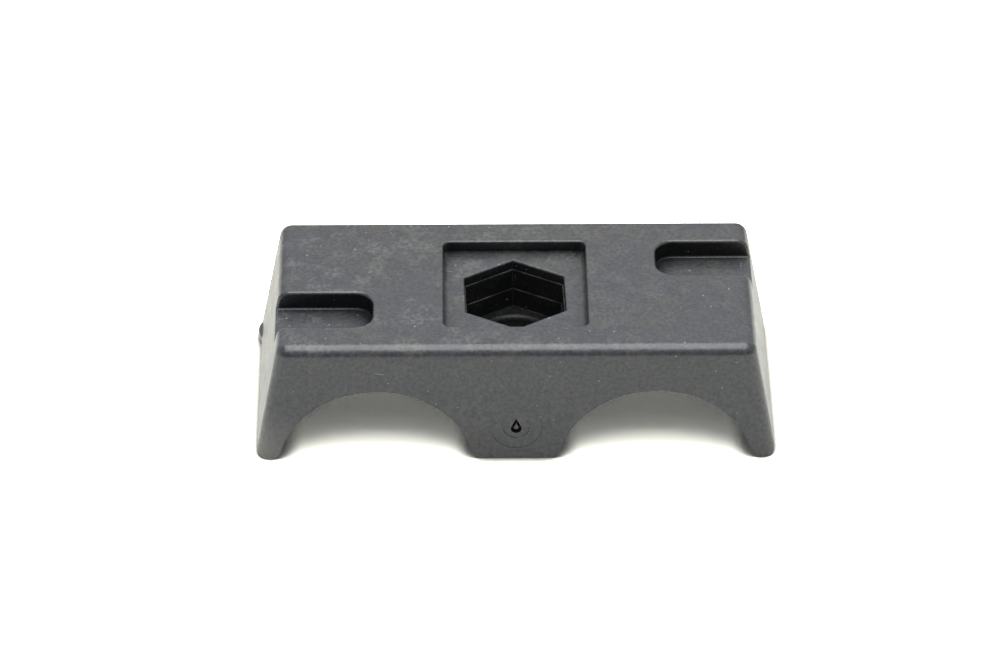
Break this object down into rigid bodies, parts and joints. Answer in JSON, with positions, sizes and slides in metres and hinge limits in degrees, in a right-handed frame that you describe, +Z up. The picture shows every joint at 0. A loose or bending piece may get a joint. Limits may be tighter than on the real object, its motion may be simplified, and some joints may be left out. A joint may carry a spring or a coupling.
{
  "type": "hydraulic tube clamp half",
  "caption": "Moulded plastic saddle that clamps two parallel hydraulic tubes, with a six-sided pocket for the head of one central bolt and an open-ended slot in the top at each end.",
  "frame": {"origin": "on the standing plane of the two end feet, in the middle of the length and the width", "axes": "+X along the length, towards the end whose slot lies behind the middle line; +Y along the tubes, away from the face with the gate mark; +Z up, out of the bolt pocket"},
  "size_m": [0.067, 0.0302, 0.0169],
  "materials": {
    "body": "dark grey moulded plastic, satin, lightly dusty and scuffed"
  },
  "bodies": {
    "root": {"clamp_half": "body"}
  },
  "joints": []
}
